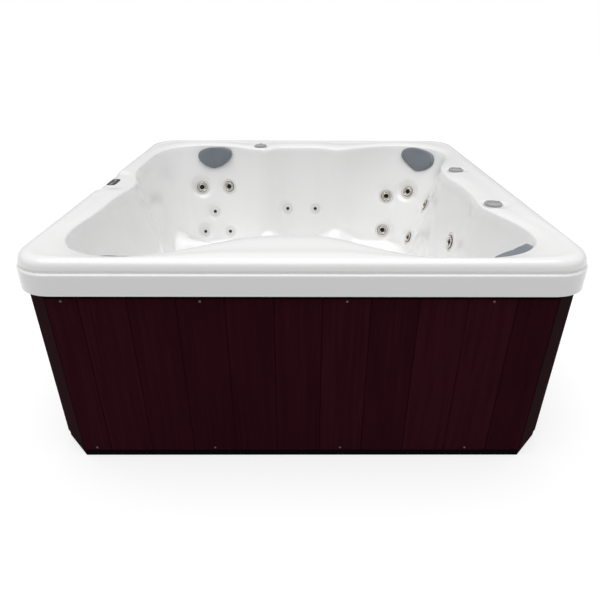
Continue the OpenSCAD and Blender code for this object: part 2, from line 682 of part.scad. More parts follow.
shell();
base_pan();
floor_pad();
frame_posts();
frame_rails();
frame_studs();
boards_front();
boards_right();
boards_back();
boards_left();
corner_boards();
board_screws();
pillow_back_left();
pillow_back_right();
pillow_front_right();
pillow_front_left();
diverter_cap();
air_cap_rear();
air_cap_front();
valve_bodies();
control_panel();
display_window();
button_1();
button_2();
button_3();
button_4();
jet_bodies_large();
jet_bodies_small();
jet_faces_small();
jet_face_1();
jet_face_2();
jet_face_3();
jet_face_4();
jet_face_5();
jet_face_6();
jet_face_7();
jet_face_8();
jet_ball_1();
jet_ball_2();
jet_ball_3();
jet_ball_4();
jet_ball_5();
jet_ball_6();
jet_ball_7();
jet_ball_8();
skimmer();
weir_flap();
filter_cartridge();
suction_covers();
pump_motor();
pump_housing();
impeller();
heater_tube();
control_box();
pipework();
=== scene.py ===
"""Dresses the square hot tub: acrylic shell, boarded cabinet, pillows, jets, valves, panel and stage."""

import json
from math import cos, pi, radians, sin

import bmesh
import bpy
import numpy as np
from bpy.props import FloatProperty, FloatVectorProperty, IntProperty, PointerProperty
from bpy.types import Operator, Panel, PropertyGroup
from mathutils import Matrix, Vector


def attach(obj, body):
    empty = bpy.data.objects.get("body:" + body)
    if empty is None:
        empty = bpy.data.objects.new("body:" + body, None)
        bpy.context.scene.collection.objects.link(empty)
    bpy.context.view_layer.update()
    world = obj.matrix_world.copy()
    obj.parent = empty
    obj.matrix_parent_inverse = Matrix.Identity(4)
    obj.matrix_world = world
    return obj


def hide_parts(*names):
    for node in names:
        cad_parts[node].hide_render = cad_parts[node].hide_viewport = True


bl_info = {
    "name": "Square hot tub",
    "version": (1, 0, 0),
    "blender": (4, 5, 0),
    "location": "View3D > Sidebar > Hot tub",
    "description": "Builds the looks of a square acrylic hot tub round its packed frame",
    "category": "Object",
}

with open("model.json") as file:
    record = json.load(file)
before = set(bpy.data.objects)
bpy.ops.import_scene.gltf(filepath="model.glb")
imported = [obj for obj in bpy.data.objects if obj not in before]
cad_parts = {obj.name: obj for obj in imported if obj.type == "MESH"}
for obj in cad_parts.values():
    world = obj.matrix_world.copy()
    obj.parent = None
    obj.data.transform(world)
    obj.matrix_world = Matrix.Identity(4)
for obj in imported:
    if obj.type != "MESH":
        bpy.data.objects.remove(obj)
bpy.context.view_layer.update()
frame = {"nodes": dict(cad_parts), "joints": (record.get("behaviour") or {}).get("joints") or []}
NODES = frame["nodes"]
JOINTS = {j["name"]: j for j in frame["joints"]}

MM = 0.001

# Pads of deck that reach in between the seats: from bearing, to bearing, blend, reach
PADS = (
    (-31, 24, 8, 105), (-31, -25, 4, 35), (4, 20, 6, 32), (62, 118, 8, 65), (68, 75, 5, 85),
    (106, 113, 5, 100), (178, 193, 8, 65), (201, 213, 5, 50), (256, 276, 20, 210),
)
# Corner seats lean back more: bearing, half width, blend, added lean
LEANS = ((43, 14, 10, 0.2), (130, 14, 10, 0.17), (228, 14, 10, 0.16), (312, 14, 10, 0.16))
# Armrests between the seats: bearing, half width, blend, rise
ARMS = (
    (24, 2, 7, 70), (71, 2, 7, 90), (109, 2, 7, 90), (152, 3, 8, 170),
    (207, 4, 8, 110), (266, 10, 16, 60), (331, 3, 8, 80),
)
# Bearing and height of each small jet
SMALL_JETS = (
    (129, 440), (135, 325), (125.5, 315), (97.5, 460), (83, 460),
    (231, 590), (222, 590), (227, 440), (305, 590), (314, 590), (309, 440),
)
# Bearing and height of each pillow, and how far its outline rises and slips sideways
PILLOWS = {
    "pillow_back_left": (124.5, 786, 0.13, 0.2), "pillow_back_right": (45.4, 783, -0.1, 0),
    "pillow_front_right": (312, 786, 0, 0), "pillow_front_left": (235, 770, 0, 0),
}
# Bearing and height of the suctions and of the skimmer, and the panel's place on the deck
SUCTIONS = ((165, 152), (195, 152))
SKIMMER = (266, 715)
PANEL = (-933, -33)
CAPS = ("diverter_cap", "air_cap_rear", "air_cap_front")
# Radius of each fitting's hole and width of the soft edge round its levelled seat
BIG_HOLE, BIG_EDGE = 26, 28
SMALL_HOLE, SMALL_EDGE = 12.8, 20
# Radius and depth of a suction's recess, radius of its hole and width of its soft edge
SUCTION_SEAT = (50, 3.2, 25, 12)
# Depth of a valve cap's recess, radius of its hole and width of its edge
CAP_SEAT = (0.5, 28, 0.1)
# Size across and along the wall, corner radius, bottom and top of the skimmer's recess and opening
SKIMMER_RECESS = (136, 216, 10, -5, 60)
SKIMMER_HOLE = (114, 194, 4, -40, 30)
# Depth of the panel's seat below the rim's crest, room round it, width and end walls of its slot
PANEL_DROP, PANEL_ROOM, PANEL_SLOT, PANEL_ENDS = 14, 4, 30, 16
# Where the cutters of the round recesses and holes start and end along their axis
RECESS_TOP, HOLE_BOTTOM, HOLE_TOP = 30, -45, 20
# First joint between the cabinet's boards, their pitch and the height from which a painted shadow of the skirt
# band makes their heads nearly black, in metres
BOARD_START, BOARD_PITCH, BAND_SHADOW_HEIGHT = 0.067, 0.165, 0.722
# The stage: the floor's grey and glow, the sky's and the sun's strength, the sun's angle and tilt
FLOOR_GREY, FLOOR_GLOW, SKY, SUN, SUN_ANGLE, SUN_TILT = 0.42, 0.62, 0.4, 2.2, 70, (5, -4)
# The camera: yaw, pitch and roll in radians, place in metres, lens in millimetres and shift
CAMERA_TURN = (0.00487, 0.46911, -0.0034)
CAMERA_PLACE = (-0.00545, -2.41106, 1.52465)
CAMERA_LENS, CAMERA_SHIFT = 29.4, (-0.00548, -0.03633)


class TubSizes(PropertyGroup):
    """Sizes of the shell and of what sits on it."""
    width: FloatProperty(name="Width", description="Rim, side to side", default=1.98, unit="LENGTH")
    depth: FloatProperty(name="Depth", description="Rim, front to back", default=1.98, unit="LENGTH")
    height: FloatProperty(name="Height", description="Rim's crest over the floor", default=0.86,
                          unit="LENGTH")
    rim_radius: FloatProperty(name="Rim radius", description="Corner radius of the rim", default=0.15,
                              unit="LENGTH")
    basin_radius: FloatProperty(name="Basin radius", description="Corner radius of the basin's mouth",
                                default=0.25, unit="LENGTH")
    band: FloatProperty(name="Skirt band", description="Height of the band under the rim", default=0.076,
                        unit="LENGTH")
    seat: FloatProperty(name="Seat", description="Height of the seats", default=0.24, unit="LENGTH")
    floor: FloatProperty(name="Footwell floor", description="Height of the footwell's floor", default=0.056,
                         unit="LENGTH")
    foot: FloatProperty(name="Footwell", description="Half width of the footwell", default=0.3, unit="LENGTH")
    lean: FloatProperty(name="Lean", description="How far the walls lean in for each unit of depth",
                        default=0.26)
    wall: FloatProperty(name="Wall", description="Thickness of the shell", default=0.008, unit="LENGTH")
    big_recess: FloatProperty(name="Large recess", description="Radius of a large jet's recess",
                              default=0.048, unit="LENGTH")
    small_recess: FloatProperty(name="Small recess", description="Radius of a small jet's recess",
                                default=0.038, unit="LENGTH")
    big_dip: FloatProperty(name="Large dip", description="Depth of a large jet's recess", default=0.004,
                           unit="LENGTH")
    small_dip: FloatProperty(name="Small dip", description="Depth of a small jet's recess", default=0.002,
                             unit="LENGTH")
    pillow_w: FloatProperty(name="Pillow width", description="Width of a pillow", default=0.245,
                            unit="LENGTH")
    pillow_h: FloatProperty(name="Pillow height", description="Height of a pillow", default=0.14,
                            unit="LENGTH")
    pillow_t: FloatProperty(name="Pillow thickness", description="Thickness of a pillow at its middle",
                            default=0.042, unit="LENGTH")
    cap_seat: FloatProperty(name="Cap seat", description="Radius of the landing under a valve cap",
                            default=0.045, unit="LENGTH")
    panel_l: FloatProperty(name="Panel length", description="Length of the control panel", default=0.11,
                           unit="LENGTH")
    panel_w: FloatProperty(name="Panel width", description="Width of the control panel", default=0.04,
                           unit="LENGTH")
    bearings: IntProperty(name="Bearings", description="Columns of the shell's mesh", default=480, min=200,
                          max=600)


class TubColours(PropertyGroup):
    """Colours of the tub's materials."""
    acrylic: FloatVectorProperty(name="Acrylic", description="Shell", subtype="COLOR",
                                 default=(0.915, 0.913, 0.911))
    board: FloatVectorProperty(name="Boards", description="Stained cabinet boards", subtype="COLOR",
                               default=(0.034, 0.006, 0.011))
    pillow: FloatVectorProperty(name="Pillows", description="Head pillows", subtype="COLOR",
                                default=(0.185, 0.21, 0.235))
    cap: FloatVectorProperty(name="Valve caps", description="Grey plastic", subtype="COLOR",
                             default=(0.4, 0.4, 0.4))
    trim: FloatVectorProperty(name="Jet trim", description="Bright jet faces", subtype="COLOR",
                              default=(0.86, 0.84, 0.77))


def sizes():
    """The scene's sizes."""
    return bpy.context.scene.tub_sizes


def colours():
    """The scene's colours."""
    return bpy.context.scene.tub_colours


def soft(t):
    """Goes smoothly from 0 to 1."""
    u = np.clip(t, 0, 1)
    return u * u * (3 - 2 * u)


def turn(a):
    """A bearing between -180 and 180 degrees."""
    return (np.asarray(a, float) + 180) % 360 - 180


def plateau(a, mid, half, blend):
    """1 round a bearing, going smoothly to 0 on both sides."""
    return 1 - soft((abs(turn(a - mid)) - half) / blend)


def corner_ray(a, x0, x1, y0, y1, r):
    """Distance from the middle to a rounded rectangle along a bearing."""
    c, s = np.cos(np.radians(a)), np.sin(np.radians(a))
    hx, hy = np.where(c > 0, x1, x0), np.where(s > 0, y1, y0)
    ca, sa = np.maximum(abs(c), 1e-6), np.maximum(abs(s), 1e-6)
    t = np.minimum(hx / ca, hy / sa)
    kx, ky = hx - r, hy - r
    b = ca * kx + sa * ky
    arc = b + np.sqrt(np.maximum(b * b - kx * kx - ky * ky + r * r, 0))
    return np.where((t * ca > kx) & (t * sa > ky), arc, t)


class ShellForm:
    """The sculpted shell as a section at each bearing, the same as the frame's own."""

    def __init__(self):
        s = sizes()
        self.w, self.d, self.h = s.width / MM, s.depth / MM, s.height / MM
        self.band, self.seat_z, self.floor_z = s.band / MM, s.seat / MM, s.floor / MM
        self.foot, self.lean0, self.t = s.foot / MM, s.lean, s.wall / MM
        self.rim_r, self.basin_r = s.rim_radius / MM, s.basin_radius / MM
        self.edge_z = self.h - 22
        self.columns = np.array([
            90 * q + (5.8 * k if k < 7 else 45 + 1.8 * (k - 9.5) if k < 13 else 90 - 5.8 * (19 - k))
            for q in range(4) for k in range(19)])
        self.column_sections = self.section(self.columns)

    def rim(self, a, inset):
        """Distance to the rim's outline, drawn in by an inset."""
        x, y = self.w / 2 - inset, self.d / 2 - inset
        return corner_ray(a, x, x, y, y, self.rim_r - inset)

    def basin(self, a):
        """Distance to the basin's mouth before the pads reach into it."""
        x, y = self.w / 2, self.d / 2
        return corner_ray(a, x - 105, x - 115, y - 65, y - 130, self.basin_r)

    def pad(self, a):
        return sum(p[3] * plateau(a, (p[0] + p[1]) / 2, (p[1] - p[0]) / 2, p[2]) for p in PADS)

    def lean(self, a):
        return self.lean0 + sum(p[3] * plateau(a, p[0], p[1], p[2]) for p in LEANS)

    def seat(self, a):
        return self.seat_z + sum(p[3] * plateau(a, p[0], p[1], p[2]) for p in ARMS)

    def wall(self, a, z):
        """Distance to the basin's leaning wall at a height."""
        t = np.clip((self.edge_z - z) / (self.edge_z - self.seat_z), 0, 1)
        return self.basin(a) - self.pad(a) * (1 - 0.6 * t) - self.lean(a) * (self.edge_z - z)

    def front(self, a):
        """Distance to the footwell's wall under the seats' front edge."""
        return corner_ray(a, self.foot, self.foot, self.foot, self.foot, 130)

    def section(self, a):
        """Radius and height at each station, from the skirt's lip to the footwell."""
        a = np.asarray(a, float)
        h, ez, fz, d = self.h, self.edge_z, self.floor_z, 10 * plateau(a, 181, 7, 4)
        e, zs, f, top = self.wall(a, ez), self.seat(a), self.front(a), self.rim(a, 38)
        w = self.wall(a, zs + 60)
        z1, z2 = ez + 0.36 * (zs + 60 - ez), ez + 0.68 * (zs + 60 - ez)
        o = 0 * a
        rows = [
            (self.rim(a, 0), h - 49 - self.band + o), (self.rim(a, 2), h - 49 + o),
            (self.rim(a, 10), h - 45 + o), (self.rim(a, 8), h - 36 + o), (self.rim(a, 9.5), h - 27 - d / 3),
            (self.rim(a, 15), h - 14 - d), (self.rim(a, 24), h - 5 - d), (top, h - d),
            (0.6 * top + 0.4 * (e + 20), h - 1 - d),
            (e + 20, h - 8 - d), (e + 6, h - 12 - d), (e, ez - d), (self.wall(a, ez - 50), ez - 50 + o),
            (self.wall(a, z1), z1), (self.wall(a, z2), z2), (w, zs + 60), (w - 16, zs + 22), (w - 48, zs + 5),
            (0.5 * (w - 48 + f + 45), zs - 2), (f + 45, zs), (f + 14, zs - 6), (f, zs - 28),
            (f - 20, fz + 40 + o), (f - 34, fz + 10 + o), (f - 64, fz + o),
        ]
        return np.array(rows)

    def on_wall(self, a, z):
        """Points on the wall's facets, as the frame has them, for arrays of bearings and heights."""
        a, z = np.atleast_1d(np.asarray(a, float)) % 360, np.atleast_1d(np.asarray(z, float))
        a, z = np.broadcast_arrays(a, z)
        i = np.searchsorted(self.columns, a, side="right") - 1
        r = np.empty((2, len(a)))
        for end in (0, 1):
            for k in np.unique(i):
                s = self.column_sections[:, :, (k + end) % 76]
                r[end, i == k] = np.interp(z[i == k], s[17:10:-1, 1], s[17:10:-1, 0])
        b = np.radians(np.append(self.columns, 360))
        p = np.array([r[0] * np.cos(b[i]), r[0] * np.sin(b[i])])
        q = np.array([r[1] * np.cos(b[i + 1]), r[1] * np.sin(b[i + 1])])
        u = np.array([np.cos(np.radians(a)), np.sin(np.radians(a))])
        d = q - p
        r = (p[0] * q[1] - p[1] * q[0]) / (u[0] * d[1] - u[1] * d[0])
        return np.stack([r * u[0], r * u[1], z], axis=1)

    def facing(self, a, z):
        """Normals of the wall, into the basin."""
        a, z = np.atleast_1d(a), np.atleast_1d(z)
        u = self.on_wall(a + 2.4, z) - self.on_wall(a - 2.4, z)
        v = self.on_wall(a, z + 35) - self.on_wall(a, z - 35)
        n = np.cross(v, u)
        return n / np.linalg.norm(n, axis=1)[:, None]

    def per_degree(self, a, z):
        """Millimetres along the wall for each degree of bearing."""
        return float(np.linalg.norm(self.on_wall(a + 2, z) - self.on_wall(a - 2, z)) / 4)

    def suction(self, a, z):
        """Place and normal of a suction on the footwell's wall."""
        rise = self.seat_z - self.floor_z - 68
        k = 20 - 20 * (z - self.floor_z - 40) / rise
        tilt = np.arctan(20 / rise)
        y = (float(self.front(a)) - k) * sin(radians(a))
        return Vector((-(float(self.front(180)) - k), y, z)), Vector((cos(tilt), 0, sin(tilt)))


def curve_through(stations, splits):
    """Rows of a smooth curve through the stations, with so many steps in each interval."""
    p = stations
    d = np.linalg.norm(np.diff(p, axis=0), axis=1)[:, None, :]
    slope = np.diff(p, axis=0) / np.maximum(d, 1e-9)
    m = np.empty_like(p)
    m[1:-1] = (slope[:-1] * d[1:] + slope[1:] * d[:-1]) / (d[1:] + d[:-1])
    m[0], m[-1] = slope[0], slope[-1]
    rows = []
    for i, n in enumerate(splits):
        for k in range(n):
            t = k / n
            rows.append(
                (2 * t ** 3 - 3 * t ** 2 + 1) * p[i] + (t ** 3 - 2 * t ** 2 + t) * d[i] * m[i]
                + (3 * t ** 2 - 2 * t ** 3) * p[i + 1] + (t ** 3 - t ** 2) * d[i] * m[i + 1])
    rows.append(p[-1])
    return np.array(rows)


def seat_frame(origin, normal):
    """Local Z out of the wall, local -X upwards."""
    n = Vector(normal).normalized()
    y = Vector((-n.y, n.x, 0)).normalized() if abs(n.z) < 0.9999 else Vector((0, 1, 0))
    x = y.cross(n)
    m = Matrix((x, y, n)).transposed().to_4x4()
    m.translation = Vector(origin)
    return m


def big_jets():
    """Seat of each large jet, in metres, from its joint."""
    for i in range(1, 9):
        j = JOINTS[f"jet_face_{i}_turn"]
        yield i, Vector(j["pos_m"]), Vector(j["axis"])


def small_jets(form):
    """Seat of each small jet, in metres, sunk into the wall."""
    for a, z in SMALL_JETS:
        n = Vector(form.facing(a, z)[0])
        yield Vector(form.on_wall(a, z)[0]) * MM - n * sizes().small_dip, n


def piece(bm, name, body, materials, replaces=(), smooth=True, normals=True):
    """Turns a bmesh into a finished piece on a body."""
    if normals:
        bmesh.ops.recalc_face_normals(bm, faces=bm.faces)
    mesh = bpy.data.meshes.new(name)
    bm.to_mesh(mesh)
    bm.free()
    for m in materials if isinstance(materials, (list, tuple)) else [materials]:
        mesh.materials.append(m)
    mesh.polygons.foreach_set("use_smooth", [smooth] * len(mesh.polygons))
    obj = bpy.data.objects.new(name, mesh)
    bpy.context.scene.collection.objects.link(obj)
    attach(obj, body)
    if replaces:
        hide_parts(*replaces)
    return obj


def crease(obj, degrees=35):
    """Keeps edges sharper than an angle crisp."""
    obj.data.set_sharp_from_angle(angle=radians(degrees))


def lathe(profile, steps=48, place=None):
    """A bmesh spun about local Z from a profile of (radius, height) in millimetres."""
    bm = bmesh.new()
    verts = [bm.verts.new((r * MM, 0, z * MM)) for r, z in profile]
    edges = [bm.edges.new(p) for p in zip(verts, verts[1:])]
    bmesh.ops.spin(bm, geom=verts + edges, cent=(0, 0, 0), axis=(0, 0, 1), angle=2 * pi, steps=steps,
                   use_merge=True)
    bmesh.ops.remove_doubles(bm, verts=bm.verts, dist=1e-7)
    bmesh.ops.recalc_face_normals(bm, faces=bm.faces)
    if place is not None:
        bmesh.ops.transform(bm, matrix=place, verts=bm.verts)
    return bm


def merge_into(bm, other):
    """Adds another bmesh's geometry."""
    mesh = bpy.data.meshes.new("part")
    other.to_mesh(mesh)
    other.free()
    bm.from_mesh(mesh)
    bpy.data.meshes.remove(mesh)


def bore(bm, place, radius, low, high):
    """Adds a round cutter along local Z, in millimetres."""
    middle = place @ Matrix.Translation((0, 0, (high + low) / 2 * MM))
    bmesh.ops.create_cone(bm, cap_ends=True, segments=44, radius1=radius * MM, radius2=radius * MM,
                          depth=(high - low) * MM, matrix=middle)


def pocket(bm, place, x, y, corner, low, high):
    """Adds a cutter with rounded upright corners, in millimetres."""
    part = bmesh.new()
    bmesh.ops.create_cube(part, size=1)
    bmesh.ops.scale(part, vec=(x * MM, y * MM, (high - low) * MM), verts=part.verts)
    bmesh.ops.translate(part, vec=(0, 0, (high + low) / 2 * MM), verts=part.verts)
    upright = [e for e in part.edges if abs(e.verts[0].co.z - e.verts[1].co.z) > MM]
    bmesh.ops.bevel(part, geom=upright, offset=corner * MM, affect="EDGES", segments=12, profile=0.5,
                    material=-1)
    bmesh.ops.transform(part, matrix=place, verts=part.verts)
    merge_into(bm, part)


def take_away(obj, *cutters):
    """Cuts each cutter out of a piece in turn and keeps the result as its mesh."""
    for bm in cutters:
        mesh = bpy.data.meshes.new("cutter")
        bm.to_mesh(mesh)
        bm.free()
        tool = bpy.data.objects.new("cutter", mesh)
        bpy.context.scene.collection.objects.link(tool)
        cut = obj.modifiers.new("cut", "BOOLEAN")
        cut.operation, cut.solver, cut.object = "DIFFERENCE", "EXACT", tool
        whole = obj.data
        obj.data = bpy.data.meshes.new_from_object(obj.evaluated_get(bpy.context.evaluated_depsgraph_get()))
        obj.modifiers.remove(cut)
        bpy.data.meshes.remove(whole)
        bpy.data.objects.remove(tool)
        bpy.data.meshes.remove(mesh)


def nodes_of(name):
    """A new material with its tree and its shader."""
    m = bpy.data.materials.new(name)
    m.use_nodes = True
    t = m.node_tree
    t.nodes.clear()
    out = t.nodes.new("ShaderNodeOutputMaterial")
    s = t.nodes.new("ShaderNodeBsdfPrincipled")
    t.links.new(s.outputs["BSDF"], out.inputs["Surface"])
    return m, t, s


def put(tree, kind, **inputs):
    """Adds a node and sets its inputs, or else its own properties, by name."""
    n = tree.nodes.new(kind)
    for k, v in inputs.items():
        key = k.replace("_", " ")
        if key in n.inputs:
            n.inputs[key].default_value = v
        else:
            setattr(n, k, v)
    return n


def wear_group():
    """Fine unevenness shared by the plastics: a mask for colour, a value for roughness and a height."""
    g = bpy.data.node_groups.get("surface_wear")
    if g:
        return g
    g = bpy.data.node_groups.new("surface_wear", "ShaderNodeTree")
    for n, d in (("Scale", 60.0), ("Base Roughness", 0.3), ("Spread", 0.08)):
        g.interface.new_socket(name=n, in_out="INPUT", socket_type="NodeSocketFloat").default_value = d
    for n in ("Mask", "Roughness", "Height"):
        g.interface.new_socket(name=n, in_out="OUTPUT", socket_type="NodeSocketFloat")
    a, b = g.nodes.new("NodeGroupInput"), g.nodes.new("NodeGroupOutput")
    co = g.nodes.new("ShaderNodeTexCoord")
    broad = put(g, "ShaderNodeTexNoise", Detail=3.0, Roughness=0.55)
    fine = put(g, "ShaderNodeTexNoise", Scale=900.0, Detail=2.0)
    g.links.new(co.outputs["Object"], broad.inputs["Vector"])
    g.links.new(co.outputs["Object"], fine.inputs["Vector"])
    g.links.new(a.outputs["Scale"], broad.inputs["Scale"])
    shift = put(g, "ShaderNodeMath", operation="SUBTRACT")
    shift.inputs[1].default_value = 0.5
    g.links.new(broad.outputs["Fac"], shift.inputs[0])
    wide = put(g, "ShaderNodeMath", operation="MULTIPLY_ADD")
    g.links.new(shift.outputs[0], wide.inputs[0])
    g.links.new(a.outputs["Spread"], wide.inputs[1])
    g.links.new(a.outputs["Base Roughness"], wide.inputs[2])
    g.links.new(wide.outputs[0], b.inputs["Roughness"])
    g.links.new(broad.outputs["Fac"], b.inputs["Mask"])
    g.links.new(fine.outputs["Fac"], b.inputs["Height"])
    return g


def plain_finish(name, colour, rough=0.35, spread=0.1, scale=60.0, grain=0.0, darker=0.93, metallic=0.0,
                 coat=0.0, sheen=0.0, ior=1.5):
    """Moulded plastic, metal or foam with slight mottling, uneven gloss and an optional fine grain."""
    m, t, s = nodes_of(name)
    w = t.nodes.new("ShaderNodeGroup")
    w.node_tree = wear_group()
    w.inputs["Scale"].default_value = scale
    w.inputs["Base Roughness"].default_value = rough
    w.inputs["Spread"].default_value = spread
    mix = put(t, "ShaderNodeMix", data_type="RGBA")
    mix.inputs["A"].default_value = (*[c * darker for c in colour], 1)
    mix.inputs["B"].default_value = (*colour, 1)
    t.links.new(w.outputs["Mask"], mix.inputs["Factor"])
    t.links.new(mix.outputs["Result"], s.inputs["Base Color"])
    t.links.new(w.outputs["Roughness"], s.inputs["Roughness"])
    s.inputs["Metallic"].default_value = metallic
    s.inputs["IOR"].default_value = ior
    s.inputs["Coat Weight"].default_value = coat
    s.inputs["Coat Roughness"].default_value = 0.08
    s.inputs["Sheen Weight"].default_value = sheen
    if grain:
        bump = put(t, "ShaderNodeBump", Strength=grain, Distance=0.0004)
        t.links.new(w.outputs["Height"], bump.inputs["Height"])
        t.links.new(bump.outputs["Normal"], s.inputs["Normal"])
    return m


def acrylic_finish():
    """Glossy sheet acrylic under a thin clear coat."""
    return plain_finish("glossy_acrylic", tuple(colours().acrylic), rough=0.16, spread=0.06, scale=7.0,
                        grain=0.02, darker=0.985, coat=0.35)


def board_grain_group():
    """Wood grain that runs up a board, with its own tone for each board."""
    g = bpy.data.node_groups.get("board_grain")
    if g:
        return g
    g = bpy.data.node_groups.new("board_grain", "ShaderNodeTree")
    g.interface.new_socket(name="Across", in_out="INPUT", socket_type="NodeSocketFloat")
    g.interface.new_socket(name="Out", in_out="INPUT", socket_type="NodeSocketFloat")
    g.interface.new_socket(name="Up", in_out="INPUT", socket_type="NodeSocketFloat")
    for n in ("Grain", "Tone", "Height"):
        g.interface.new_socket(name=n, in_out="OUTPUT", socket_type="NodeSocketFloat")
    a, b = g.nodes.new("NodeGroupInput"), g.nodes.new("NodeGroupOutput")
    start = put(g, "ShaderNodeMath", operation="SUBTRACT")
    start.inputs[1].default_value = BOARD_START
    g.links.new(a.outputs["Across"], start.inputs[0])
    count = put(g, "ShaderNodeMath", operation="DIVIDE")
    count.inputs[1].default_value = BOARD_PITCH
    g.links.new(start.outputs[0], count.inputs[0])
    whole = put(g, "ShaderNodeMath", operation="FLOOR")
    g.links.new(count.outputs[0], whole.inputs[0])
    tone = put(g, "ShaderNodeTexWhiteNoise", noise_dimensions="1D")
    g.links.new(whole.outputs[0], tone.inputs["W"])
    g.links.new(tone.outputs["Value"], b.inputs["Tone"])
    shift = put(g, "ShaderNodeMath", operation="MULTIPLY_ADD")
    shift.inputs[1].default_value = 3.7
    g.links.new(whole.outputs[0], shift.inputs[0])
    g.links.new(a.outputs["Up"], shift.inputs[2])
    xyz = g.nodes.new("ShaderNodeCombineXYZ")
    g.links.new(a.outputs["Across"], xyz.inputs["X"])
    g.links.new(a.outputs["Out"], xyz.inputs["Y"])
    g.links.new(shift.outputs[0], xyz.inputs["Z"])
    stretch = g.nodes.new("ShaderNodeMapping")
    stretch.inputs["Scale"].default_value = (60, 60, 2.2)
    g.links.new(xyz.outputs[0], stretch.inputs["Vector"])
    grain = put(g, "ShaderNodeTexNoise", Scale=1.0, Detail=6.0, Roughness=0.62, Distortion=0.7)
    g.links.new(stretch.outputs[0], grain.inputs["Vector"])
    g.links.new(grain.outputs["Fac"], b.inputs["Grain"])
    pores = g.nodes.new("ShaderNodeMapping")
    pores.inputs["Scale"].default_value = (900, 900, 30)
    g.links.new(xyz.outputs[0], pores.inputs["Vector"])
    fine = put(g, "ShaderNodeTexNoise", Scale=1.0, Detail=2.0)
    g.links.new(pores.outputs[0], fine.inputs["Vector"])
    add = put(g, "ShaderNodeMath", operation="MULTIPLY_ADD")
    add.inputs[1].default_value = 0.5
    g.links.new(fine.outputs["Fac"], add.inputs[0])
    g.links.new(grain.outputs["Fac"], add.inputs[2])
    g.links.new(add.outputs[0], b.inputs["Height"])
    return g


def board_finish(name, along_x, stain=1.0):
    """Dark stained boards with a satin varnish; a painted shadow of the skirt band blackens their heads, and a
    factor below 1 darkens their whole colour as painted shade.
    """
    m, t, s = nodes_of(name)
    co = t.nodes.new("ShaderNodeTexCoord")
    xyz = t.nodes.new("ShaderNodeSeparateXYZ")
    t.links.new(co.outputs["Object"], xyz.inputs[0])
    g = t.nodes.new("ShaderNodeGroup")
    g.node_tree = board_grain_group()
    t.links.new(xyz.outputs["X" if along_x else "Y"], g.inputs["Across"])
    t.links.new(xyz.outputs["Y" if along_x else "X"], g.inputs["Out"])
    t.links.new(xyz.outputs["Z"], g.inputs["Up"])
    # The factor scales the stain's colour; at 0.5 on the corner boards it is painted shade
    c = np.array(colours().board) * stain
    ramp = t.nodes.new("ShaderNodeValToRGB")
    ramp.color_ramp.elements[0].position = 0.32
    ramp.color_ramp.elements[0].color = (*(c * 0.78), 1)
    ramp.color_ramp.elements[1].position = 0.7
    ramp.color_ramp.elements[1].color = (*(c * 1.16), 1)
    t.links.new(g.outputs["Grain"], ramp.inputs["Fac"])
    tone = put(t, "ShaderNodeMapRange")
    tone.inputs["To Min"].default_value = 0.86
    tone.inputs["To Max"].default_value = 1.1
    t.links.new(g.outputs["Tone"], tone.inputs["Value"])
    scale = put(t, "ShaderNodeVectorMath", operation="SCALE")
    t.links.new(ramp.outputs["Color"], scale.inputs[0])
    # Painted shadow of the skirt band: the colour falls to 12 % over the 3 mm below this height and stays that
    # dark up the boards' heads
    band_shadow = put(t, "ShaderNodeMapRange", From_Min=BAND_SHADOW_HEIGHT - 0.003, From_Max=BAND_SHADOW_HEIGHT, To_Min=1.0,
               To_Max=0.12)
    t.links.new(xyz.outputs["Z"], band_shadow.inputs["Value"])
    shade = put(t, "ShaderNodeMath", operation="MULTIPLY")
    t.links.new(tone.outputs["Result"], shade.inputs[0])
    t.links.new(band_shadow.outputs["Result"], shade.inputs[1])
    t.links.new(shade.outputs[0], scale.inputs["Scale"])
    t.links.new(scale.outputs["Vector"], s.inputs["Base Color"])
    rough = put(t, "ShaderNodeMapRange")
    rough.inputs["To Min"].default_value = 0.6
    rough.inputs["To Max"].default_value = 0.8
    t.links.new(g.outputs["Grain"], rough.inputs["Value"])
    t.links.new(rough.outputs["Result"], s.inputs["Roughness"])
    s.inputs["IOR"].default_value = 1.04
    bump = put(t, "ShaderNodeBump", Strength=0.25, Distance=0.0006)
    t.links.new(g.outputs["Height"], bump.inputs["Height"])
    t.links.new(bump.outputs["Normal"], s.inputs["Normal"])
    return m


def dress(node, material):
    """Gives a carried-over node its material."""
    mats = NODES[node].data.materials
    for i in range(len(mats)):
        mats[i] = material
    if not len(mats):
        mats.append(material)


# Boards: material's name, whether they stand along X, and a factor on their colour that paints shade on the corner
# boards
BOARDS = {
    "boards_x": ("stained_boards", True, 1.0), "boards_y": ("stained_boards_side", False, 1.0),
    # The corner boards' colour is halved as painted shade
    "corners": ("stained_corner_boards", True, 0.5),
}
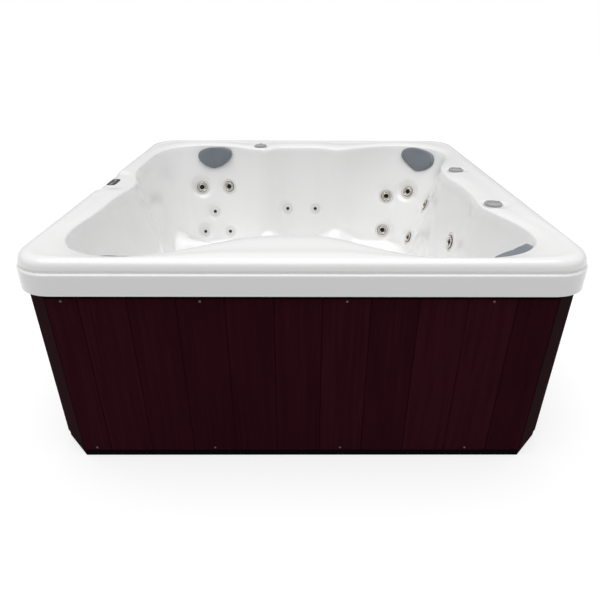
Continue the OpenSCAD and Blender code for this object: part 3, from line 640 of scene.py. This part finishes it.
# Plain finishes: material's name, colour or its property, roughness, spread, scale, grain and the rest
PLAIN = {
    "pillow": ("moulded_pillow", "pillow", 0.55, 0.12, 30.0, 0.35, {"darker": 0.9, "sheen": 0.25}),
    "grey_cap": ("grey_cap_plastic", "cap", 0.32, 0.1, 80.0, 0.08, {}),
    "trim": ("bright_jet_trim", "trim", 0.26, 0.06, 90.0, 0.0, {"darker": 0.92, "metallic": 0.6}),
    "flange": ("jet_flange", (0.84, 0.82, 0.76), 0.22, 0.08, 70.0, 0.04, {}),
    "white": ("white_moulding", (0.82, 0.82, 0.81), 0.25, 0.08, 70.0, 0.04, {}),
    "black": ("black_moulding", (0.012, 0.012, 0.013), 0.3, 0.12, 70.0, 0.1, {}),
    "panel": ("panel_moulding", (0.02, 0.021, 0.024), 0.32, 0.1, 70.0, 0.2, {}),
    "window": ("display_glass", (0.006, 0.008, 0.012), 0.05, 0.03, 30.0, 0.0, {"coat": 1.0}),
    "button": ("button_rubber", (0.42, 0.44, 0.46), 0.5, 0.1, 80.0, 0.1, {}),
    "pan": ("base_pan_plastic", (0.005, 0.004, 0.005), 0.7, 0.15, 25.0, 0.3, {"ior": 1.04}),
    "steel": ("satin_steel", (0.6, 0.6, 0.6), 0.3, 0.12, 200.0, 0.1, {"metallic": 1.0}),
    "screw": ("dull_screw", (0.09, 0.06, 0.06), 0.5, 0.12, 200.0, 0.1, {"metallic": 0.3}),
    "timber": ("frame_timber", (0.48, 0.31, 0.16), 0.65, 0.1, 40.0, 0.5, {"darker": 0.75}),
    "foam": ("floor_foam", (0.55, 0.47, 0.3), 0.85, 0.1, 90.0, 0.6, {"darker": 0.8}),
    "filter": ("filter_cloth", (0.8, 0.81, 0.84), 0.9, 0.05, 90.0, 0.6, {"darker": 0.9, "sheen": 0.4}),
    "motor": ("motor_paint", (0.03, 0.033, 0.04), 0.4, 0.1, 60.0, 0.15, {}),
    "pipe": ("pipe_plastic", (0.72, 0.72, 0.7), 0.35, 0.1, 50.0, 0.1, {}),
}
FINISHES = {}


def finish(name):
    """Materials by name, each made once."""
    if name not in FINISHES:
        if name in BOARDS:
            FINISHES[name] = board_finish(*BOARDS[name])
        elif name == "acrylic":
            FINISHES[name] = acrylic_finish()
        else:
            label, colour, rough, spread, scale, grain, more = PLAIN[name]
            colour = tuple(getattr(colours(), colour)) if isinstance(colour, str) else colour
            FINISHES[name] = plain_finish(label, colour, rough, spread, scale, grain, **more)
    return FINISHES[name]


# How far the visible shell's folds are eased, in degrees of bearing, and over how many columns a side
EASE, EASE_REACH = 4.2, 20
# Inset and depth below the crest of the stations that keep the skirt band flat up to its rounded top edge
BAND_EDGE = ((1.8, 56), (1.95, 52), (3.2, 49.2))
# Stations that the shell's back follows, and the rows in each interval of its face and its back
BACK_OF = (0, 1, 4, 7, 9, 11, 13, 15, 17, 19, 21, 22, 24)
BACK_SPLITS = (1, 1, 1, 2, 2, 5, 5, 5, 3, 3, 2, 2)
SPLITS = (4, 1, 2, 3, 3, 3, 3, 2, 2, 6, 5, 3, 3, 5, 10, 17, 17, 5, 4, 7, 8, 4, 4, 9, 4, 4)


def level(co, place, radius, height, edge, back=False):
    """Levels points round a fitting, or only pushes those of the shell's back clear, in millimetres."""
    o, n = np.array(place.translation), np.array(place.to_3x3().col[2])
    d = co - o
    h = d @ n / MM
    rad = np.linalg.norm(d - (h * MM)[:, None] * n, axis=1) / MM
    near = (rad < radius + edge) & (abs(h) < 40)
    move = height - h[near]
    if back:
        move = np.minimum(move, 0)
    co[near] += (soft((radius + edge - rad[near]) / edge) * move * MM)[:, None] * n


class TUB_OT_shell(Operator):
    """Builds the sculpted acrylic shell with its rolled rim, seats, footwell and recesses"""
    bl_idname = "hottub.shell"
    bl_label = "Shell"

    def softened(self, stations, n):
        """The sections with the folds between pads, walls and armrests eased, as forming leaves them."""
        k = np.exp(-0.5 * (np.arange(-EASE_REACH, EASE_REACH + 1) / (EASE * n / 360)) ** 2)
        k /= k.sum()
        ring = stations[:, :, :n]
        eased = sum(w * np.roll(ring, i - EASE_REACH, axis=2) for i, w in enumerate(k))
        keep = np.array([1 if 9 <= j <= 20 else 0 for j in range(len(stations))])[:, None, None]
        ring = ring + keep * (eased - ring)
        return np.concatenate([ring, ring[:, :, :1]], axis=2)

    def seats(self, s, form):
        """Place, radius, depth, hole and soft edge of each round fitting's seat, in millimetres."""
        dip = s.big_dip / MM
        for _, o, n in big_jets():
            yield seat_frame(o + n * s.big_dip, n), s.big_recess / MM, dip, BIG_HOLE, BIG_EDGE
        dip = s.small_dip / MM - 1
        for o, n in small_jets(form):
            yield seat_frame(o + n * s.small_dip, n), s.small_recess / MM, dip, SMALL_HOLE, SMALL_EDGE
        for at in SUCTIONS:
            o, n = form.suction(*at)
            yield seat_frame(o * MM, n), *SUCTION_SEAT
        for name in CAPS:
            yield Matrix.Translation(Vector(JOINTS[name + "_turn"]["pos_m"])), s.cap_seat / MM, *CAP_SEAT

    def execute(self, context):
        s, form = sizes(), ShellForm()
        n = s.bearings
        a = np.arange(n + 1) * 360.0 / n
        stations = self.softened(form.section(a), n)
        flat = [(form.rim(a, i), form.h - drop + 0 * a) for i, drop in BAND_EDGE]
        top = curve_through(np.concatenate([stations[:1], np.array(flat), stations[2:]]), SPLITS)
        back = [stations[0] - np.array([[form.t], [0]])]
        for j in BACK_OF[1:]:
            d = stations[min(j + 1, 24)] - stations[j - 1]
            d = d / np.linalg.norm(d, axis=0)
            back.append(stations[j] - np.array([d[1], -d[0]]) * (form.t if j < 12 else 2 * form.t))
        under = []
        for low, high, m in zip(back, back[1:], BACK_SPLITS):
            under += [low + (high - low) * k / m for k in range(m)]
        under.append(back[-1])
        pole_top = np.array([0 * a, 0 * a + form.floor_z])
        pole_low = np.array([0 * a, 0 * a + form.floor_z - 2 * form.t])
        inner = [top[-1] * (1 - f) + pole_top * f for f in (0.16, 0.4, 0.7)]
        rows = np.array([pole_top] + inner[::-1] + list(top[::-1]) + under + [pole_low])
        m = len(rows)
        bm = bmesh.new()
        bmesh.ops.create_grid(bm, x_segments=n, y_segments=m - 1, size=1)
        mesh = bpy.data.meshes.new("shell_grid")
        bm.to_mesh(mesh)
        bm.free()
        co = np.empty(len(mesh.vertices) * 3)
        mesh.vertices.foreach_get("co", co)
        co = co.reshape(-1, 3)
        col = np.rint((co[:, 0] + 1) / 2 * n).astype(int) % n
        row = np.rint((co[:, 1] + 1) / 2 * (m - 1)).astype(int)
        r, z = rows[row, 0, col], rows[row, 1, col]
        b = np.radians(a[col])
        co = np.stack([r * np.cos(b), r * np.sin(b), z], axis=1) * MM
        face = row < len(inner) + 1 + len(top)
        seats = list(self.seats(s, form))
        for where, back in ((face, False), (~face, True)):
            skin = co[where]
            for place, radius, dip, _, edge in seats:
                margin, height = (10, -dip - form.t - 2) if back else (2, 0)
                level(skin, place, radius + margin, height, edge, back)
            co[where] = skin
        mesh.vertices.foreach_set("co", co.reshape(-1))
        bm = bmesh.new()
        bm.from_mesh(mesh)
        bpy.data.meshes.remove(mesh)
        bmesh.ops.remove_doubles(bm, verts=bm.verts, dist=1e-6)
        bmesh.ops.recalc_face_normals(bm, faces=bm.faces)
        obj = piece(bm, "acrylic_shell", "tub", finish("acrylic"), ["shell"], normals=False)

        recesses, holes = bmesh.new(), bmesh.new()
        for place, radius, dip, hole, _ in seats:
            bore(recesses, place, radius, -dip, RECESS_TOP)
            bore(holes, place, hole, HOLE_BOTTOM, HOLE_TOP)
        panel = Matrix.Translation((PANEL[0] * MM, PANEL[1] * MM, (form.h - PANEL_DROP) * MM))
        long, wide = s.panel_l / MM + PANEL_ROOM, s.panel_w / MM + PANEL_ROOM
        pocket(recesses, panel, wide, long, wide * 0.499, 0, 30)
        pocket(holes, panel, PANEL_SLOT, long - PANEL_ENDS, 3, -30, 20)
        skimmer = seat_frame(form.on_wall(*SKIMMER)[0] * MM, form.facing(*SKIMMER)[0])
        pocket(recesses, skimmer, *SKIMMER_RECESS)
        pocket(holes, skimmer, *SKIMMER_HOLE)
        take_away(obj, recesses, holes)
        crease(obj, 40)
        return {"FINISHED"}


# Share of a pillow's height over its middle, squareness of its outline above and below, its edge's thickness
PILLOW_UP, PILLOW_TOP, PILLOW_FOOT, PILLOW_EDGE = 0.38, 3, 1.5, 5
# How far the flat part of a pillow's back reaches from its edge, as shares of the way to the middle
PILLOW_BACK = (0.12, 0.35)


def pick(f, w, h):
    """Radius of the pillow's outline: wide and flat at the top, narrowing to a rounded point."""
    c, s = abs(np.cos(f)) / (w / 2), np.sin(f)
    up = (c ** PILLOW_TOP + (np.maximum(s, 0) / (h * PILLOW_UP)) ** PILLOW_TOP) ** (-1 / PILLOW_TOP)
    low = np.maximum(-s, 0) / (h * (1 - PILLOW_UP))
    down = (c ** PILLOW_FOOT + low ** PILLOW_FOOT) ** (-1 / PILLOW_FOOT)
    return np.where(s > 0, up, down)


class TUB_OT_pillows(Operator):
    """Builds the four crowned head pillows on the wall"""
    bl_idname = "hottub.pillows"
    bl_label = "Pillows"

    def execute(self, context):
        s, form = sizes(), ShellForm()
        w, h, t = s.pillow_w / MM, s.pillow_h / MM, s.pillow_t / MM
        for name, (a, z, rise, slip) in PILLOWS.items():
            ahead = form.facing(a, z)
            k = form.per_degree(a, z)
            bm = bmesh.new()
            bmesh.ops.create_uvsphere(bm, u_segments=72, v_segments=40, radius=1)
            co = np.array([v.co for v in bm.verts])
            f = np.arctan2(co[:, 1], co[:, 0])
            lat = np.arcsin(np.clip(co[:, 2], -1, 1)) / (pi / 2)
            front, q = np.clip(lat, 0, 1), np.clip(-lat, 0, 1)
            inset, flat = PILLOW_BACK
            inner = (1 - inset) * (1 - (np.clip(q - flat, 0, 1) / (1 - flat)) ** 1.5)
            behind = np.where(q < flat, 1 - inset * soft(q / flat), inner)
            rho = np.where(lat >= 0, 1 - front ** 2.2, behind)
            crown = PILLOW_EDGE + (t - PILLOW_EDGE) * np.sin(pi / 2 * front ** 0.56)
            out = np.where(lat >= 0, crown, PILLOW_EDGE * (1 - soft(q / 0.3)))
            roll = soft(np.sin(f) * (1 - abs(front)) * 1.2)
            out = out * (1 + 0.45 * np.sin(f) * (1 - front)) + np.where(lat >= 0, 4 * roll, 0)
            rad = pick(f, w, h) * rho
            across, up = rad * np.cos(f), rad * np.sin(f)
            at = (a - (across + slip * up) / k, z + 0.93 * (up + rise * across))
            n = form.facing(*at) + ahead
            n /= np.linalg.norm(n, axis=1)[:, None]
            place = (form.on_wall(*at) + n * (out + 1)[:, None]) * MM
            for v, p in zip(bm.verts, place):
                v.co = p
            bmesh.ops.smooth_vert(bm, verts=bm.verts, factor=0.5, use_axis_x=True, use_axis_y=True,
                                  use_axis_z=True)
            obj = piece(bm, name + "_pad", "tub", finish("pillow"), [name])
        return {"FINISHED"}


class TUB_OT_large_jets(Operator):
    """Builds the turning faces and nozzles of the large jets"""
    bl_idname = "hottub.large_jets"
    bl_label = "Large jets"

    def execute(self, context):
        face = [
            (20.9, -14), (20.9, 3.1), (32.2, 3.1), (33, 3.9), (33, 5.6), (32.4, 7.4), (30.6, 8.7), (28, 9),
            (25.8, 8.5), (24.6, 7), (24.2, 5.2), (23.2, 4.7), (21.6, 4.7), (20.8, 5.2), (20.4, 6.8),
            (19.2, 7.9), (17.6, 8), (16.3, 7.4), (15.9, 6.2), (15.7, 2), (15.7, -14), (20.9, -14),
        ]
        nozzle = [
            (5.5, -10.8), (11, -10.8), (13.6, -7.2), (15.2, -3.2), (15.5, 0), (15.2, 3), (13.8, 6.6),
            (12.6, 8.2), (9.6, 8.6), (8.8, 9.6), (8.5, 12), (7.8, 12.9), (6.6, 12.9), (5.6, 12), (5.5, 9),
            (5.5, -10.8),
        ]
        flange = [
            (34.6, 0.1), (45.6, 0.1), (46.4, 0.8), (46.4, 2.2), (45.4, 3.8), (43.2, 4.9), (40, 5.3),
            (37.2, 4.9), (35.4, 3.9), (34.6, 2.4), (34.6, 0.1),
        ]
        flanges = bmesh.new()
        for i, o, n in big_jets():
            bm = lathe(face, 60)
            for v in bm.verts:
                r = v.co.xy.length / MM
                if r > 26 and v.co.z > 5 * MM:
                    dent = max(cos(6 * np.arctan2(v.co.y, v.co.x)), 0) ** 4
                    v.co.z -= 1.6 * MM * dent * min((r - 26) / 5, 1)
            for f in bm.faces:
                r = f.calc_center_median().xy.length / MM
                f.material_index = 1 if r > 29.6 or 21.4 < r < 24.2 else 0
            bmesh.ops.transform(bm, matrix=seat_frame(o, n), verts=bm.verts)
            crease(piece(bm, f"jet_ring_{i}", f"jet_face_{i}", [finish("trim"), finish("black")],
                         [f"jet_face_{i}"]), 40)
            merge_into(flanges, lathe(flange, 60, seat_frame(o, n)))
            bm = lathe(nozzle, 40, seat_frame(o - n * 2 * MM, n))
            ball = f"jet_ball_{i}"
            crease(piece(bm, f"jet_nozzle_{i}", ball, finish("black"), [ball]), 40)
        crease(piece(flanges, "jet_flanges", "tub", finish("flange")), 40)
        return {"FINISHED"}


class TUB_OT_small_jets(Operator):
    """Builds the faces and dark throats of the small jets"""
    bl_idname = "hottub.small_jets"
    bl_label = "Small jets"

    def execute(self, context):
        face = [
            (9, -11), (10.4, -11), (10.4, 2.6), (19, 2.6), (19.5, 3.1), (19.5, 4.2), (18.9, 5.4), (17, 6.3),
            (14, 6.5), (12.6, 6), (11.8, 5.2), (10.8, 5.2), (10.2, 5.9), (9.5, 6), (9, 5.4), (9, -11),
        ]
        throat = [(0, -8), (8.7, -8), (8.7, 5.2), (8.2, 5.6), (6.8, 4.6), (3, 4.1), (0, 4)]
        faces, throats = bmesh.new(), bmesh.new()
        for o, n in small_jets(ShellForm()):
            bm = lathe(face, 40)
            for f in bm.faces:
                f.material_index = 1 if f.calc_center_median().xy.length < 10.6 * MM else 0
            bmesh.ops.transform(bm, matrix=seat_frame(o, n), verts=bm.verts)
            merge_into(faces, bm)
            merge_into(throats, lathe(throat, 24, seat_frame(o, n)))
        crease(piece(faces, "small_jet_faces", "tub", [finish("white"), finish("black")], ["jet_faces_small"]), 40)
        crease(piece(throats, "small_jet_throats", "tub", finish("black")), 40)
        return {"FINISHED"}


class TUB_OT_valve_caps(Operator):
    """Builds the grey diverter and air caps with their grips"""
    bl_idname = "hottub.valve_caps"
    bl_label = "Valve caps"

    def execute(self, context):
        dome = [
            (0, 2.9), (36, 2.9), (36.8, 3.8), (37, 5.5), (37, 9.5), (36.5, 11.4), (35, 12.8), (31, 14),
            (22, 15), (10, 15.7), (0, 15.9),
        ]
        for name in CAPS:
            p = Vector(JOINTS[name + "_turn"]["pos_m"])
            bm = lathe(dome, 64)
            grip = bmesh.new()
            bmesh.ops.create_cube(grip, size=1)
            bmesh.ops.scale(grip, vec=(12 * MM, 60 * MM, 10 * MM), verts=grip.verts)
            bmesh.ops.translate(grip, vec=(0, 0, 15.4 * MM), verts=grip.verts)
            top = [v for v in grip.verts if v.co.z > 15 * MM]
            bmesh.ops.scale(grip, vec=(0.62, 0.86, 1), verts=top)
            bmesh.ops.bevel(grip, geom=grip.edges, offset=2.6 * MM, affect="EDGES", segments=4, profile=0.5,
                            material=-1)
            if name != "diverter_cap":
                bmesh.ops.rotate(grip, cent=(0, 0, 0), matrix=Matrix.Rotation(pi / 2, 3, "Z"),
                                 verts=grip.verts)
            merge_into(bm, grip)
            bmesh.ops.translate(bm, vec=p, verts=bm.verts)
            knob = name.replace("cap", "knob")
            crease(piece(bm, knob, name, finish("grey_cap"), [name]), 50)
        return {"FINISHED"}


class TUB_OT_carried_over(Operator):
    """Gives the carried-over nodes their materials"""
    bl_idname = "hottub.carried_over"
    bl_label = "Frame finishes"

    def execute(self, context):
        looks = {
            "boards_front": "boards_x", "boards_back": "boards_x", "boards_left": "boards_y",
            "boards_right": "boards_y", "corner_boards": "corners", "board_screws": "screw",
            "base_pan": "pan", "floor_pad": "foam", "frame_posts": "timber", "frame_rails": "timber",
            "frame_studs": "timber", "valve_bodies": "white", "control_panel": "panel",
            "display_window": "window", "jet_bodies_large": "white", "jet_bodies_small": "white",
            "skimmer": "white", "weir_flap": "white", "filter_cartridge": "filter",
            "suction_covers": "white", "pump_motor": "motor", "pump_housing": "black", "impeller": "white",
            "heater_tube": "steel", "control_box": "black", "pipework": "pipe",
        }
        for i in range(1, 5):
            looks[f"button_{i}"] = "button"
        for node, look in looks.items():
            dress(node, finish(look))
        return {"FINISHED"}


class TUB_OT_stage(Operator):
    """Builds the floor, the soft studio light and the camera"""
    bl_idname = "hottub.stage"
    bl_label = "Stage"

    def execute(self, context):
        scene = context.scene
        bm = bmesh.new()
        bmesh.ops.create_grid(bm, x_segments=1, y_segments=1, size=30)
        mesh = bpy.data.meshes.new("studio_floor")
        bm.to_mesh(mesh)
        bm.free()
        floor = bpy.data.objects.new("studio_floor", mesh)
        floor.location.z = -0.0005
        scene.collection.objects.link(floor)
        m, t, shade = nodes_of("floor_white")
        shade.inputs["Base Color"].default_value = (FLOOR_GREY, FLOOR_GREY, FLOOR_GREY, 1)
        shade.inputs["Roughness"].default_value = 0.9
        shade.inputs["Specular IOR Level"].default_value = 0.0
        path, seen = t.nodes.new("ShaderNodeLightPath"), put(t, "ShaderNodeMath", operation="MAXIMUM")
        t.links.new(path.outputs["Is Camera Ray"], seen.inputs[0])
        t.links.new(path.outputs["Is Glossy Ray"], seen.inputs[1])
        t.links.new(seen.outputs[0], shade.inputs["Emission Strength"])
        shade.inputs["Emission Color"].default_value = (FLOOR_GLOW, FLOOR_GLOW, FLOOR_GLOW, 1)
        mesh.materials.append(m)

        world = bpy.data.worlds.new("studio")
        scene.world = world
        world.use_nodes = True
        wt = world.node_tree
        wt.nodes.clear()
        out = wt.nodes.new("ShaderNodeOutputWorld")
        lit = put(wt, "ShaderNodeBackground", Color=(1, 1, 1, 1), Strength=SKY)
        white = put(wt, "ShaderNodeBackground", Color=(1, 1, 1, 1), Strength=1.0)
        mix, path = wt.nodes.new("ShaderNodeMixShader"), wt.nodes.new("ShaderNodeLightPath")
        seen = put(wt, "ShaderNodeMath", operation="MAXIMUM")
        wt.links.new(path.outputs["Is Camera Ray"], seen.inputs[0])
        wt.links.new(path.outputs["Is Transmission Ray"], seen.inputs[1])
        wt.links.new(seen.outputs[0], mix.inputs["Fac"])
        wt.links.new(lit.outputs[0], mix.inputs[1])
        wt.links.new(white.outputs[0], mix.inputs[2])
        wt.links.new(mix.outputs[0], out.inputs["Surface"])

        sun = bpy.data.lights.new("overhead", "SUN")
        sun.energy = SUN
        sun.angle = radians(SUN_ANGLE)
        lamp = bpy.data.objects.new("overhead", sun)
        lamp.rotation_euler = (radians(SUN_TILT[0]), radians(SUN_TILT[1]), 0)
        scene.collection.objects.link(lamp)

        yaw, pitch, roll = CAMERA_TURN
        fwd = Vector((sin(yaw) * cos(pitch), cos(yaw) * cos(pitch), -sin(pitch)))
        right = Vector((cos(yaw), -sin(yaw), 0))
        down = fwd.cross(right)
        right, down = cos(roll) * right + sin(roll) * down, -sin(roll) * right + cos(roll) * down
        cam = bpy.data.cameras.new("camera")
        cam.sensor_width = 36
        cam.lens = CAMERA_LENS
        cam.shift_x, cam.shift_y = CAMERA_SHIFT
        cam.dof.use_dof = False
        obj = bpy.data.objects.new("camera", cam)
        m = Matrix((right, -down, -fwd)).transposed().to_4x4()
        m.translation = Vector(CAMERA_PLACE)
        obj.matrix_world = m
        scene.collection.objects.link(obj)
        scene.camera = obj
        scene.view_settings.view_transform = "Standard"
        return {"FINISHED"}


class TUB_PT_panel(Panel):
    """Lists the tub's builders"""
    bl_idname = "TUB_PT_panel"
    bl_label = "Hot tub"
    bl_space_type = "VIEW_3D"
    bl_region_type = "UI"
    bl_category = "Hot tub"

    def draw(self, context):
        for owner in (context.scene.tub_sizes, context.scene.tub_colours):
            box = self.layout.box()
            for key in owner.__annotations__:
                box.prop(owner, key)
        for op in OPERATORS:
            self.layout.operator(op.bl_idname)


OPERATORS = (
    TUB_OT_shell, TUB_OT_pillows, TUB_OT_large_jets, TUB_OT_small_jets, TUB_OT_valve_caps,
    TUB_OT_carried_over, TUB_OT_stage,
)
CLASSES = (TubSizes, TubColours) + OPERATORS + (TUB_PT_panel,)


def register():
    """Registers the classes and the scene's properties."""
    for c in CLASSES:
        bpy.utils.register_class(c)
    bpy.types.Scene.tub_sizes = PointerProperty(type=TubSizes)
    bpy.types.Scene.tub_colours = PointerProperty(type=TubColours)


def unregister():
    """Takes the classes and the properties away again."""
    del bpy.types.Scene.tub_colours
    del bpy.types.Scene.tub_sizes
    for c in reversed(CLASSES):
        bpy.utils.unregister_class(c)


def main():
    """Builds the whole tub."""
    register()
    for op in OPERATORS:
        group, name = op.bl_idname.split(".")
        getattr(getattr(bpy.ops, group), name)()


if __name__ == "__main__":
    main()
